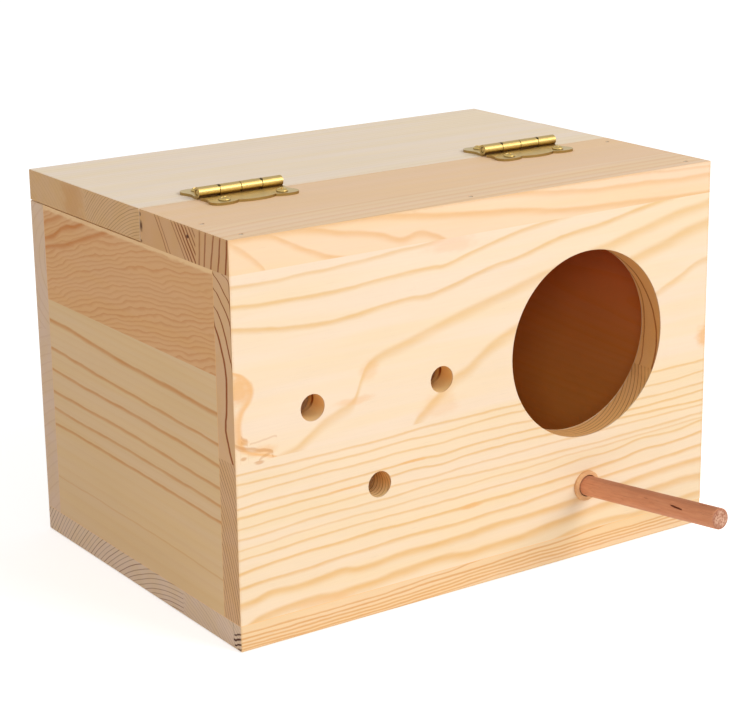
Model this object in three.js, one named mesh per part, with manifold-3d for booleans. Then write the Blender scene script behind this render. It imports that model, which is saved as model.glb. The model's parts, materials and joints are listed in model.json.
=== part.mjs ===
// Pine nest box for cage birds, with a hinged rear lid and a perch. Lengths are in millimetres.
// X runs along the front from left to right, Y from front to back and Z up.
// The origin is the centre of the underside.

import * as THREE from 'three';
import { mergeVertices } from 'three/addons/utils/BufferGeometryUtils.js';
import Module from 'manifold-3d';

const wasm = await Module();
wasm.setup();

// The box
const BOX_WIDTH = 175;
const BOX_DEPTH = 122;
const BOX_HEIGHT = 120;
const FLOOR_THICKNESS = 8;
const WALL_THICKNESS = 9;
const ROOF_THICKNESS = 10;
const ROOF_STRIP_DEPTH = 49.5;
const GLUE_LINE = 0.05;
const LID_REST_GAP = 0.4;
const LID_SEAM_GAP = 0.4;

// Where the seam between a board's two staves falls, as a share of the board's own width
const FLOOR_SEAM_SHARE = 0.27;
const FRONT_SEAM_SHARE = 0.471;
const BACK_SEAM_SHARE = 0.6;
const LEFT_SEAM_SHARE = 0.704;
const RIGHT_SEAM_SHARE = 0.43;
const ROOF_STRIP_SEAM_SHARE = 0.36;
const LID_SEAM_SHARE = 0.47;

// Entrance and vent holes, with their middles as shares of the box's width and height
const ENTRANCE_RADIUS = 29.5;
const ENTRANCE_WIDTH_SHARE = 0.722;
const ENTRANCE_HEIGHT_SHARE = 0.575;
const VENT_RADIUS = 4;
const VENT_SPACING = 45;
const VENT_WIDTH_SHARE = 0.2755;
const UPPER_VENT_HEIGHT_SHARE = 0.567;
const LOWER_VENT_HEIGHT_SHARE = 0.336;

// Perch, a dowel pushed through a low collar into a hole that slopes down towards the inside.
// It stands straight below the entrance, at a share of the height of the wood that is left there.
const PERCH_RADIUS = 3.2;
const PERCH_REACH = 60.5;
const PERCH_HEIGHT_SHARE = 0.479;
const PERCH_SLOPE = THREE.MathUtils.degToRad(6.8);
const PERCH_BEVEL = 0.5;
const PERCH_CLEARANCE = 0.3;
const PERCH_END_RECESS = 1;
const COLLAR_WIDTH = 1.3;
const COLLAR_HEIGHT = 1;
const COLLAR_BEVEL = 0.4;

// Hinges
const LEFT_HINGE_INSET = 33.5;
const RIGHT_HINGE_INSET = 37.2;
const LEAF_LENGTH = 30;
const LEAF_DEPTH = 11.5;
const LEAF_THICKNESS = 0.8;
const BARREL_LENGTH = 29;
const BARREL_RADIUS = 1.6;
const BARREL_LIFT = 0.5;
const KNUCKLES = 4;
const KNUCKLE_GAP = 0.25;
const BARREL_CLEARANCE = 0.3;
const PIN_RADIUS = 0.8;
const PIN_CLEARANCE = 0.1;
const PIN_RECESS = 0.2;
const PIN_BEVEL = 0.15;

// Screws of the hinges
const SCREW_SPACING = 19.6;
const SCREW_REACH = 8;
const SCREW_LENGTH = 7;
const SCREW_POINT = 1.6;
const SCREW_RADIUS = 0.9;
const SCREW_HEAD_RADIUS = 1.8;
const SCREW_HEAD_RIM = 0.3;
const SCREW_HEAD_HEIGHT = 1;
const SCREW_SLOT_WIDTH = 0.4;
const SCREW_SLOT_LENGTH = 2.2;
const SCREW_SLOT_DEPTH = 0.5;
const SCREW_CLEARANCE = 0.2;

// Brads that hold the roof strip, with their places as shares of the box's width or the strip's depth
const BRAD_RADIUS = 0.6;
const BRAD_LENGTH = 20;
const BRAD_RECESS = 0.1;
const BRAD_CLEARANCE = 0.2;
const FRONT_BRAD_SHARES = [0.038, 0.483, 0.962];
const LEFT_BRAD_SHARE = 0.44;
const RIGHT_BRAD_SHARE = 0.895;

// How finely round surfaces are drawn, and how far a cut runs past the surface that it opens
const ENTRANCE_SIDES = 96;
const VENT_SIDES = 32;
const PERCH_SIDES = 24;
const BARREL_SIDES = 24;
const SCREW_SIDES = 16;
const HEAD_STEPS = 4;
const CURVE_STEPS = 6;
const OVERRUN = 0.5;

// Half of a leaf's outline, from the barrel round its flared corner lobe to the middle of its long edge.
// Each pair is a curve's control point and end point, as shares of the half length and the depth.
const LEAF_START_SHARE = 0.95;
const LEAF_CURVE_SHARES = [
  { control: [0.9, 0.42], end: [0.97, 0.6] },
  { control: [1.03, 0.78], end: [0.93, 0.93] },
  { control: [0.84, 1.03], end: [0.62, 0.99] },
  { control: [0.47, 0.96], end: [0.42, 0.87] },
  { control: [0.28, 1], end: [0, 1] },
];

// Heights and places that follow from the sizes above
const LEFT = -BOX_WIDTH / 2;
const RIGHT = BOX_WIDTH / 2;
const FRONT = -BOX_DEPTH / 2;
const BACK = BOX_DEPTH / 2;
const WALL_BOTTOM = FLOOR_THICKNESS + GLUE_LINE;
const WALL_TOP = BOX_HEIGHT - ROOF_THICKNESS;
const STRIP_BACK = FRONT + ROOF_STRIP_DEPTH;
const LID_FRONT = STRIP_BACK + LID_SEAM_GAP;
const HINGE_LINE = STRIP_BACK + LID_SEAM_GAP / 2;
const AXIS_HEIGHT = BARREL_LIFT + BARREL_RADIUS;
const ENTRANCE_X = LEFT + BOX_WIDTH * ENTRANCE_WIDTH_SHARE;
const ENTRANCE_Z = BOX_HEIGHT * ENTRANCE_HEIGHT_SHARE;
const VENT_X = LEFT + BOX_WIDTH * VENT_WIDTH_SHARE;
const UNDER_ENTRANCE = ENTRANCE_Z - ENTRANCE_RADIUS - FLOOR_THICKNESS;
const PERCH_Z = FLOOR_THICKNESS + UNDER_ENTRANCE * PERCH_HEIGHT_SHARE;

const PINE = { color: 0xf3dcb8, roughness: 0.6, metalness: 0 };
const PINE_SIDE = { color: 0xcfa87c, roughness: 0.65, metalness: 0 };
const PINE_ROOF = { color: 0xe2cbb0, roughness: 0.6, metalness: 0 };
const PERCH_WOOD = { color: 0xb97355, roughness: 0.6, metalness: 0 };
const BRASS = { color: 0xcfae55, roughness: 0.3, metalness: 1 };
const STEEL = { color: 0x8d8880, roughness: 0.4, metalness: 1 };

function piece(name, geometry, finish) {
  const mesh = new THREE.Mesh(geometry, new THREE.MeshStandardMaterial(finish));
  mesh.name = name;
  return mesh;
}

// A closed geometry as a solid that can be cut and joined
function toSolid(geometry) {
  const bare = geometry.clone();
  bare.deleteAttribute('normal');
  bare.deleteAttribute('uv');
  const merged = mergeVertices(bare);
  const corners = merged.index.array;
  const triangles = [];
  for (let i = 0; i < corners.length; i += 3) {
    const [a, b, c] = corners.slice(i, i + 3);
    if (a !== b && b !== c && c !== a) triangles.push(a, b, c);
  }
  const vertProperties = Float32Array.from(merged.attributes.position.array);
  const triVerts = Uint32Array.from(triangles);
  return new wasm.Manifold(new wasm.Mesh({ numProp: 3, vertProperties, triVerts }));
}

function toGeometry(solid) {
  const mesh = solid.getMesh();
  const geometry = new THREE.BufferGeometry();
  geometry.setAttribute('position', new THREE.BufferAttribute(mesh.vertProperties, mesh.numProp));
  geometry.setIndex(new THREE.BufferAttribute(mesh.triVerts, 1));
  geometry.computeVertexNormals();
  return geometry;
}

// A closed solid of revolution about Y, from a profile of [radius, height] that starts and ends on the axis
function turned(profile, sides) {
  return new THREE.LatheGeometry(profile.map(([radius, height]) => new THREE.Vector2(radius, height)), sides);
}

// Boards: each is two staves glued edge to edge, with the seam across the given axis
function board(name, low, high, finish) {
  const size = high.clone().sub(low);
  const mesh = piece(name, new THREE.BoxGeometry(size.x, size.y, size.z), finish);
  mesh.position.copy(low).add(high).divideScalar(2);
  return mesh;
}

function staves(names, axis, seamShare, low, high, finish) {
  const seam = low[axis] + (high[axis] - low[axis]) * seamShare;
  const firstHigh = high.clone();
  firstHigh[axis] = seam - GLUE_LINE / 2;
  const secondLow = low.clone();
  secondLow[axis] = seam + GLUE_LINE / 2;
  return [board(names[0], low, firstHigh, finish), board(names[1], secondLow, high, finish)];
}

function floorBoards() {
  const low = new THREE.Vector3(LEFT, FRONT, 0);
  const high = new THREE.Vector3(RIGHT, BACK, FLOOR_THICKNESS);
  return staves(['floor_front_stave', 'floor_rear_stave'], 'y', FLOOR_SEAM_SHARE, low, high, PINE_SIDE);
}

function frontBoards() {
  const low = new THREE.Vector3(LEFT, FRONT, WALL_BOTTOM);
  const high = new THREE.Vector3(RIGHT, FRONT + WALL_THICKNESS, WALL_TOP);
  const names = ['front_panel_lower_stave', 'front_panel_upper_stave'];
  return staves(names, 'z', FRONT_SEAM_SHARE, low, high, PINE);
}

function backBoards() {
  const low = new THREE.Vector3(LEFT, BACK - WALL_THICKNESS, WALL_BOTTOM);
  const high = new THREE.Vector3(RIGHT, BACK, WALL_TOP);
  const names = ['back_panel_lower_stave', 'back_panel_upper_stave'];
  return staves(names, 'z', BACK_SEAM_SHARE, low, high, PINE);
}

// Side panels stand between the front and back panels
function sideBoards(side, outer, inner, seamShare) {
  const depth = WALL_THICKNESS + GLUE_LINE;
  const low = new THREE.Vector3(Math.min(outer, inner), FRONT + depth, WALL_BOTTOM);
  const high = new THREE.Vector3(Math.max(outer, inner), BACK - depth, WALL_TOP);
  const names = [`${side}_side_lower_stave`, `${side}_side_upper_stave`];
  return staves(names, 'z', seamShare, low, high, PINE_SIDE);
}

function roofStripBoards() {
  const low = new THREE.Vector3(LEFT, FRONT, WALL_TOP + GLUE_LINE);
  const high = new THREE.Vector3(RIGHT, STRIP_BACK, BOX_HEIGHT);
  const names = ['roof_strip_front_stave', 'roof_strip_rear_stave'];
  return staves(names, 'y', ROOF_STRIP_SEAM_SHARE, low, high, PINE_ROOF);
}

function lidBoards() {
  const low = new THREE.Vector3(LEFT, LID_FRONT, WALL_TOP + LID_REST_GAP);
  const high = new THREE.Vector3(RIGHT, BACK, BOX_HEIGHT);
  return staves(['lid_front_stave', 'lid_rear_stave'], 'y', LID_SEAM_SHARE, low, high, PINE_ROOF);
}

// Hinges: drawn round the hinge's middle on the roof's top face, with the barrel along X
function leafOutline(side) {
  const start = BARREL_RADIUS + BARREL_CLEARANCE;
  const halfLength = LEAF_LENGTH / 2;
  const at = ([along, away], mirror) => [mirror * along * halfLength, side * away * LEAF_DEPTH];
  const shape = new THREE.Shape();
  shape.moveTo(LEAF_START_SHARE * halfLength, side * start);
  for (const { control, end } of LEAF_CURVE_SHARES) {
    shape.quadraticCurveTo(...at(control, 1), ...at(end, 1));
  }
  for (let i = LEAF_CURVE_SHARES.length - 1; i > 0; i -= 1) {
    shape.quadraticCurveTo(...at(LEAF_CURVE_SHARES[i].control, -1), ...at(LEAF_CURVE_SHARES[i - 1].end, -1));
  }
  const corner = [-LEAF_START_SHARE * halfLength, side * start];
  shape.quadraticCurveTo(...at(LEAF_CURVE_SHARES[0].control, -1), ...corner);
  shape.closePath();
  return shape;
}

// One rolled knuckle with the tab that joins it to its leaf
function knuckle(index, side) {
  const pitch = BARREL_LENGTH / KNUCKLES;
  const length = pitch - KNUCKLE_GAP;
  const middle = (index + 0.5) * pitch - BARREL_LENGTH / 2;
  const tube = new THREE.CylinderGeometry(BARREL_RADIUS, BARREL_RADIUS, length, BARREL_SIDES);
  tube.rotateZ(Math.PI / 2);
  tube.translate(middle, 0, AXIS_HEIGHT);
  const tabDepth = BARREL_RADIUS + BARREL_CLEARANCE + OVERRUN;
  const tab = new THREE.BoxGeometry(length, tabDepth, LEAF_THICKNESS);
  tab.translate(middle, side * tabDepth / 2, LEAF_THICKNESS / 2);
  return toSolid(tube).add(toSolid(tab));
}

// A leaf reaches from the axis to one side: -1 is the front, 1 the back
function leaf(name, side, firstKnuckle) {
  const settings = { depth: LEAF_THICKNESS, bevelEnabled: false, curveSegments: CURVE_STEPS };
  let solid = toSolid(new THREE.ExtrudeGeometry(leafOutline(side), settings));
  for (let index = firstKnuckle; index < KNUCKLES; index += 2) {
    solid = solid.add(knuckle(index, side));
  }
  const boreRadius = PIN_RADIUS + PIN_CLEARANCE;
  const bore = new THREE.CylinderGeometry(boreRadius, boreRadius, BARREL_LENGTH + OVERRUN, BARREL_SIDES);
  bore.rotateZ(Math.PI / 2);
  bore.translate(0, 0, AXIS_HEIGHT);
  return piece(name, toGeometry(solid.subtract(toSolid(bore))), BRASS);
}

function hingePin(name) {
  const half = BARREL_LENGTH / 2 - PIN_RECESS;
  const profile = [
    [0, -half],
    [PIN_RADIUS - PIN_BEVEL, -half],
    [PIN_RADIUS, PIN_BEVEL - half],
    [PIN_RADIUS, half - PIN_BEVEL],
    [PIN_RADIUS - PIN_BEVEL, half],
    [0, half],
  ];
  const pin = piece(name, turned(profile, BARREL_SIDES), BRASS);
  pin.rotation.z = Math.PI / 2;
  pin.position.z = AXIS_HEIGHT;
  return pin;
}

// Raised-head screw with a cross recess, seated on the leaf with its point down
function screwGeometry() {
  const profile = [
    [0, -SCREW_LENGTH],
    [SCREW_RADIUS, SCREW_POINT - SCREW_LENGTH],
    [SCREW_RADIUS, 0],
    [SCREW_HEAD_RADIUS, 0],
  ];
  for (let step = 0; step <= HEAD_STEPS; step += 1) {
    const angle = (step / HEAD_STEPS) * (Math.PI / 2);
    const dome = SCREW_HEAD_HEIGHT - SCREW_HEAD_RIM;
    const radius = step < HEAD_STEPS ? SCREW_HEAD_RADIUS * Math.cos(angle) : 0;
    profile.push([radius, SCREW_HEAD_RIM + dome * Math.sin(angle)]);
  }
  let solid = toSolid(turned(profile, SCREW_SIDES));
  const slotHeight = SCREW_SLOT_DEPTH + OVERRUN;
  for (const turn of [0, Math.PI / 2]) {
    const slot = new THREE.BoxGeometry(SCREW_SLOT_LENGTH, slotHeight, SCREW_SLOT_WIDTH);
    slot.rotateY(turn);
    slot.translate(0, SCREW_HEAD_HEIGHT - SCREW_SLOT_DEPTH + slotHeight / 2, 0);
    solid = solid.subtract(toSolid(slot));
  }
  return toGeometry(solid);
}

function screw(name, x, y) {
  const mesh = piece(name, screwGeometry(), BRASS);
  mesh.rotation.x = Math.PI / 2;
  mesh.position.set(x, y, LEAF_THICKNESS);
  return mesh;
}

function hinge(side, x) {
  const group = new THREE.Group();
  group.position.set(x, HINGE_LINE, BOX_HEIGHT);
  group.add(leaf(`${side}_hinge_fixed_leaf`, -1, 1));
  group.add(leaf(`${side}_hinge_lid_leaf`, 1, 0));
  group.add(hingePin(`${side}_hinge_pin`));
  for (const [holder, away] of [['fixed', -SCREW_REACH], ['lid', SCREW_REACH]]) {
    group.add(screw(`${side}_hinge_${holder}_screw_left`, -SCREW_SPACING / 2, away));
    group.add(screw(`${side}_hinge_${holder}_screw_right`, SCREW_SPACING / 2, away));
  }
  return group;
}

// Perch: drawn along Y with its outer end at the front, round the point where it leaves the panel
function perch() {
  const inner = WALL_THICKNESS / Math.cos(PERCH_SLOPE) - PERCH_END_RECESS;
  const profile = [
    [0, -PERCH_REACH],
    [PERCH_RADIUS - PERCH_BEVEL, -PERCH_REACH],
    [PERCH_RADIUS, PERCH_BEVEL - PERCH_REACH],
    [PERCH_RADIUS, inner - PERCH_BEVEL],
    [PERCH_RADIUS - PERCH_BEVEL, inner],
    [0, inner],
  ];
  const mesh = piece('perch', turned(profile, PERCH_SIDES), PERCH_WOOD);
  mesh.position.set(ENTRANCE_X, FRONT, PERCH_Z);
  mesh.rotation.x = -PERCH_SLOPE;
  return mesh;
}

// A round blank glued on the front panel. The perch's bore turns it into a ring.
function perchCollar() {
  const radius = PERCH_RADIUS + PERCH_CLEARANCE + COLLAR_WIDTH;
  const profile = [
    [0, 0],
    [radius, 0],
    [radius, COLLAR_HEIGHT - COLLAR_BEVEL],
    [radius - COLLAR_BEVEL, COLLAR_HEIGHT],
    [0, COLLAR_HEIGHT],
  ];
  const mesh = piece('perch_collar', turned(profile, PERCH_SIDES * 2), PINE_SIDE);
  mesh.position.set(ENTRANCE_X, FRONT - GLUE_LINE, PERCH_Z);
  mesh.rotation.x = Math.PI;
  return mesh;
}

// Brads: headless pins from the strip's top face down into the front and side panels
function brad(name, x, y) {
  const mesh = piece(name, new THREE.CylinderGeometry(BRAD_RADIUS, BRAD_RADIUS, BRAD_LENGTH, SCREW_SIDES), STEEL);
  mesh.rotation.x = Math.PI / 2;
  mesh.position.set(x, y, BOX_HEIGHT - BRAD_RECESS - BRAD_LENGTH / 2);
  return mesh;
}

function brads() {
  const middle = WALL_THICKNESS / 2;
  const front = FRONT_BRAD_SHARES.map((share, i) =>
    brad(`front_brad_${i + 1}`, LEFT + share * BOX_WIDTH, FRONT + middle));
  const left = brad('left_brad', LEFT + middle, FRONT + LEFT_BRAD_SHARE * ROOF_STRIP_DEPTH);
  const right = brad('right_brad', RIGHT - middle, FRONT + RIGHT_BRAD_SHARE * ROOF_STRIP_DEPTH);
  return [...front, left, right];
}

// Bores: each is a closed geometry in the box's frame, and every board or leaf that it reaches is cut by it
function panelBore(radius, sides, x, height) {
  const bore = new THREE.CylinderGeometry(radius, radius, WALL_THICKNESS + 2 * OVERRUN, sides);
  return bore.translate(x, FRONT + WALL_THICKNESS / 2, height);
}

function panelBores() {
  const upper = BOX_HEIGHT * UPPER_VENT_HEIGHT_SHARE;
  const lower = BOX_HEIGHT * LOWER_VENT_HEIGHT_SHARE;
  return [
    panelBore(ENTRANCE_RADIUS, ENTRANCE_SIDES, ENTRANCE_X, ENTRANCE_Z),
    panelBore(VENT_RADIUS, VENT_SIDES, VENT_X - VENT_SPACING / 2, upper),
    panelBore(VENT_RADIUS, VENT_SIDES, VENT_X + VENT_SPACING / 2, upper),
    panelBore(VENT_RADIUS, VENT_SIDES, VENT_X, lower),
  ];
}

// The perch's bore runs as far past the collar and the panel as the perch is thick
function perchBore(dowel) {
  const radius = PERCH_RADIUS + PERCH_CLEARANCE;
  const outer = COLLAR_HEIGHT + PERCH_RADIUS;
  const inner = WALL_THICKNESS + PERCH_RADIUS;
  const bore = new THREE.CylinderGeometry(radius, radius, outer + inner, PERCH_SIDES * 2);
  return bore.translate(0, (inner - outer) / 2, 0).applyMatrix4(dowel.matrixWorld);
}

// The bore of a screw or brad: its shank with a clearance, as deep as it reaches
function fastenerBore(fastener, radius, top, bottom) {
  const bore = new THREE.CylinderGeometry(radius, radius, top - bottom, SCREW_SIDES);
  return bore.translate(0, (top + bottom) / 2, 0).applyMatrix4(fastener.matrixWorld);
}

function cutBores(mesh, bores) {
  const toMesh = mesh.matrixWorld.clone().invert();
  const reach = new THREE.Box3().setFromObject(mesh);
  let solid = toSolid(mesh.geometry);
  for (const bore of bores) {
    bore.computeBoundingBox();
    if (!reach.intersectsBox(bore.boundingBox)) continue;
    solid = solid.subtract(toSolid(bore.clone().applyMatrix4(toMesh)));
  }
  mesh.geometry = toGeometry(solid);
}

const boards = [
  ...floorBoards(),
  ...frontBoards(),
  ...backBoards(),
  ...sideBoards('left', LEFT, LEFT + WALL_THICKNESS, LEFT_SEAM_SHARE),
  ...sideBoards('right', RIGHT, RIGHT - WALL_THICKNESS, RIGHT_SEAM_SHARE),
  ...roofStripBoards(),
  ...lidBoards(),
];
const hinges = [hinge('left', LEFT + LEFT_HINGE_INSET), hinge('right', RIGHT - RIGHT_HINGE_INSET)];
const dowel = perch();
const collar = perchCollar();
const pins = brads();

const nestBox = new THREE.Group();
nestBox.add(...boards, ...hinges, dowel, collar, ...pins);
nestBox.updateMatrixWorld(true);

const fittings = hinges.flatMap((group) => group.children);
const leaves = fittings.filter((mesh) => mesh.name.endsWith('leaf'));
const screws = fittings.filter((mesh) => mesh.name.includes('screw'));
const screwBoreRadius = SCREW_RADIUS + SCREW_CLEARANCE;
const bradBoreRadius = BRAD_RADIUS + BRAD_CLEARANCE;
const bradBoreHalf = BRAD_LENGTH / 2 + BRAD_CLEARANCE;
const bores = [
  ...panelBores(),
  perchBore(dowel),
  ...screws.map((mesh) => fastenerBore(mesh, screwBoreRadius, OVERRUN, -SCREW_LENGTH - SCREW_CLEARANCE)),
  ...pins.map((mesh) => fastenerBore(mesh, bradBoreRadius, bradBoreHalf, -bradBoreHalf)),
];
for (const mesh of [...boards, ...leaves, collar]) cutBores(mesh, bores);

export default nestBox;
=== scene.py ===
"""Looks of the pine nest box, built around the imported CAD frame. Lengths are in millimetres."""

import json
import math

import bmesh
import bpy
from mathutils import Matrix, Vector, noise


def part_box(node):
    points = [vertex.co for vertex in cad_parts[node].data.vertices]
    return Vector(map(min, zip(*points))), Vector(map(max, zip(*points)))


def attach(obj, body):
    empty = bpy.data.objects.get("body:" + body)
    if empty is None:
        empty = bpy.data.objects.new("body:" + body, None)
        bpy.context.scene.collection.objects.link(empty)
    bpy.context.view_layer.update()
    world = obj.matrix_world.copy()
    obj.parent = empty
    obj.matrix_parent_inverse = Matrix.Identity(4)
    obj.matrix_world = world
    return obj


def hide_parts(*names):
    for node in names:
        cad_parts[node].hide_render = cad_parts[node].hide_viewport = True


MM = 0.001

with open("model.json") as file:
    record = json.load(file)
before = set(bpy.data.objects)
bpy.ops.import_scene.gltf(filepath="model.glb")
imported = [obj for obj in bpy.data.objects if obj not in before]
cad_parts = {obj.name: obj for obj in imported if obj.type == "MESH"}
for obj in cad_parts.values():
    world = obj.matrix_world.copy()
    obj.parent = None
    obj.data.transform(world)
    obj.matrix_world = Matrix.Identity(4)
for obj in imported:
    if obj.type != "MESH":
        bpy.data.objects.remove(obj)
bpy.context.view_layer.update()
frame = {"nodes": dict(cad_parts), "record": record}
nodes = frame["nodes"]
NODE_BODY = {node: body for body, names in frame["record"]["behaviour"]["bodies"].items() for node in names}

# The whole box
WIDTH, DEPTH, HEIGHT = 175.0, 122.0, 120.0

# Camera: the photograph's angle, distance and lens
CAMERA_AZIMUTH = math.radians(-34.188)
CAMERA_ELEVATION = math.radians(16.496)
CAMERA_ROLL = math.radians(-0.815)
CAMERA_LENS = 103.02
CAMERA_SENSOR = 36.0
# Where the middle of the underside lies from the camera: to its right, below and ahead
CAMERA_TO_ORIGIN = (1.62, 55.77, 694.16)

# The shader settings of all wood: a dull face
WOOD_GLOSS = {"IOR": 1.45, "Specular_IOR_Level": 0.2}

# Light levels, at which a colour shows about as it is written. Lamp places are in metres.
SKY_LEVEL = 0.51
KEY_POWER = 14.7
KEY_PLACE = (0.75, -1.35, 1.05)
KEY_SIZE = 1.1
FILL_POWER = 3.6
FILL_PLACE = (-0.98, -1.25, 0.6)
FILL_SIZE = 0.4
FLOOR_GLOW = 0.5
FLOOR_RADIUS = 8.0
FLOOR_DROP = 0.0002
FLOOR_WHITE = (0.95, 0.95, 0.95, 1.0)
WHITE = (1.0, 1.0, 1.0, 1.0)

# The boards' thickness, and how high the roof strip and the lid lie
WALL = 9.0
FLOOR = 8.0
WALL_TOP = 110.0

# How far the edges of the boards and of the brass sheet are eased
BOARD_EASE = 0.35
BRASS_EASE = 0.12
EASE_ANGLE = math.radians(30)
SMOOTH_ANGLE = math.radians(15)
FLAT_ANGLE = math.radians(0.5)
# Boards less than this apart are glued and meet in the middle of the glue line
GLUE_REACH = 0.12
# Edges this near to another board stay square
SQUARE_REACH = 0.6


def linear(red, green, blue):
    """A colour written in screen values of 0 to 255, as Blender's linear colour."""
    def one(value):
        share = value / 255
        return share / 12.92 if share <= 0.04045 else ((share + 0.055) / 1.055) ** 2.4
    return (one(red), one(green), one(blue), 1.0)


# Perch. A crack is where it starts and ends as a share of the length, its angle round the perch in
# degrees from its right side upwards, its depth and half its width.
PERCH_SLOPE = math.radians(6.8)
PERCH_RADIUS = 3.2
PERCH_SIDES = 96
PERCH_STEPS = 150
PERCH_TRIM = 0.05
# How many degrees a crack wanders round the perch
CRACK_DRIFT = 11
# How uneven and how rough its surface is, and how much and from how near its ends are rounded
PERCH_UNEVEN, PERCH_ROUGH = 0.05, 0.02
TIP_ROUNDING, TIP_REACH = 0.42, 0.5
PERCH_CRACKS = [
    (0.725, 0.812, 155, 0.75, 0.34),
    (0.86, 0.94, 94, 0.5, 0.3),
    (0.40, 0.44, 185, 0.25, 0.2),
    (0.50, 0.58, 330, 0.45, 0.28),
]

# Hinge screws
SCREW_HEAD_HEIGHT = 1.0
SCREW_HEAD_RADIUS = 1.8
SCREW_RADIUS = 0.9
SCREW_CORE = 0.66
SCREW_PITCH = 0.75
SCREW_POINT = 1.0
SCREW_PLAIN = 1.6
# Where in a thread's pitch its crest and its foot lie
THREAD_CREST, THREAD_FOOT = 0.35, 0.6
# How thick a head is at its rim, and the two powers of its dome's curve
SCREW_RIM = 0.12
DOME_FLAT, DOME_ROUND = 2.4, 0.62
SCREW_SIDES = 64
HEAD_RINGS = 26
CROSS_WIDTH = 0.34
CROSS_REACH = 1.25
CROSS_DEPTH = 0.62
# How far the first screw is turned, and each next one from it, in degrees
SCREW_FIRST_TURN = 12
SCREW_NEXT_TURN = 37

# The height above which brass is barrel or screw head and no longer leaf
BARREL_START = 120.95
# Where along X the barrels get painted shade in the gap between two knuckles
NOTCHES = (-61.25, -46.75, 43.05, 57.55)

# Pine colours: the wood between the growth lines, and the lines
CREAM = (linear(247, 222, 191), linear(236, 196, 142))
GOLDEN = (linear(246, 221, 187), linear(235, 191, 132))
PEACH = (linear(248, 215, 178), linear(236, 186, 130))
TAN = (linear(230, 194, 146), linear(208, 144, 78))
SALMON = (linear(226, 174, 120), linear(202, 126, 56))
APRICOT = (linear(243, 210, 165), linear(223, 167, 108))
ROSE = (linear(247, 211, 171), linear(234, 187, 137))
GREYISH = (linear(252, 233, 208), linear(242, 217, 184))
END_BROWN = (linear(224, 180, 134), linear(146, 72, 16))
END_ORANGE = (linear(220, 176, 130), linear(138, 72, 18))
END_STRIP = (linear(217, 169, 120), linear(142, 70, 16))
END_TAN = (linear(220, 178, 130), linear(160, 110, 60))
END_MAUVE = (linear(228, 199, 170), linear(148, 104, 82))
END_PINK = (linear(226, 194, 164), linear(200, 156, 120))
FLAME = linear(240, 182, 116)
KNOT = linear(241, 188, 130)
BARK = linear(204, 136, 70)
ROSE_PATCH = linear(250, 206, 170)
DARK_END = linear(206, 148, 88)
CHIP = linear(72, 30, 12)
PALE_BAND = linear(250, 210, 154)
EDGE_TINT = linear(226, 180, 124)
# What the wood's colour is multiplied by in its warmer and cooler bands
WARM_BAND = (1.0, 0.985, 0.93, 1.0)
COOL_BAND = (1.0, 1.0, 1.04, 1.0)
# And round the entrance and in the vents: on their walls, and then at their bottom, painted lighter as
# painted light falling in from above
ENTRANCE_WALL_AND_LIT_BOTTOM = ((1.16, 0.94, 0.6, 1.0), (1.27, 1.19, 0.9, 1.0))
VENT_WALL_AND_LIT_BOTTOM = ((1.25, 1.13, 0.74, 1.0), (1.3, 1.58, 1.5, 1.0))
# Painted light and shade on the inner faces, standing in for the light bounced round inside the closed box:
# the right side's, painted lighter low and darker and redder high, and the others' painted warm shade
INSIDE_LIT_LOW = linear(255, 168, 62)
INSIDE_SHADED_HIGH = linear(222, 94, 20)
INSIDE_BOUNCE_SHADE = linear(255, 196, 124)

# Growth lines drawn on the front panel: points along the grain and up, strength, softness below the line
FRONT_LINES = [
    ([(0, 107.2), (10, 106.9), (25, 107.3), (40, 107.7), (55, 109), (66, 109.6), (80, 112), (175, 118)],
     0.75, 1.5),
    ([(0, 101.7), (10, 101), (20, 100.7), (30, 100.6), (45, 101.5), (60, 102.3), (68, 102.6), (71, 102.4),
      (80, 104.3), (88, 106.3), (100, 108.7), (112, 110.2), (175, 119)], 0.9, 1.7),
    ([(0, 95.3), (10, 93.8), (20, 92.7), (30, 92.3), (40, 92.7), (50, 93.9), (60, 94.5), (65, 94.2),
      (72, 95.4), (80, 97.2), (88, 99), (100, 101), (111, 103.7), (120, 105), (132, 106.5), (145, 108.8),
      (175, 113)], 0.95, 1.9),
    ([(0, 50), (15, 56), (20, 57.3), (25, 60.4), (30, 63.3), (35, 65.2), (39, 66.8), (41, 70), (42.2, 73),
      (45, 77.2), (50, 79.6), (55, 80.8), (60, 82.2), (72, 85.3), (80, 87.4), (94, 90.6), (109, 94),
      (133, 99.2), (147, 102.2), (156, 104.2), (175, 107.4)], 0.8, 3.6),
    ([(0, 40), (56, 50), (62, 57.2), (66, 60.6), (71, 64.6), (75, 67.5), (80, 69.6), (88, 74.7), (97, 78.6),
      (120, 86), (145, 93.6), (156, 96.4), (165, 99), (175, 101)], 0.85, 4.2),
    ([(0, 20), (110, 60), (130, 70), (155, 81.4), (163, 84.6), (172, 88.6), (175, 88.8)], 0.75, 2.6),
]
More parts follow.
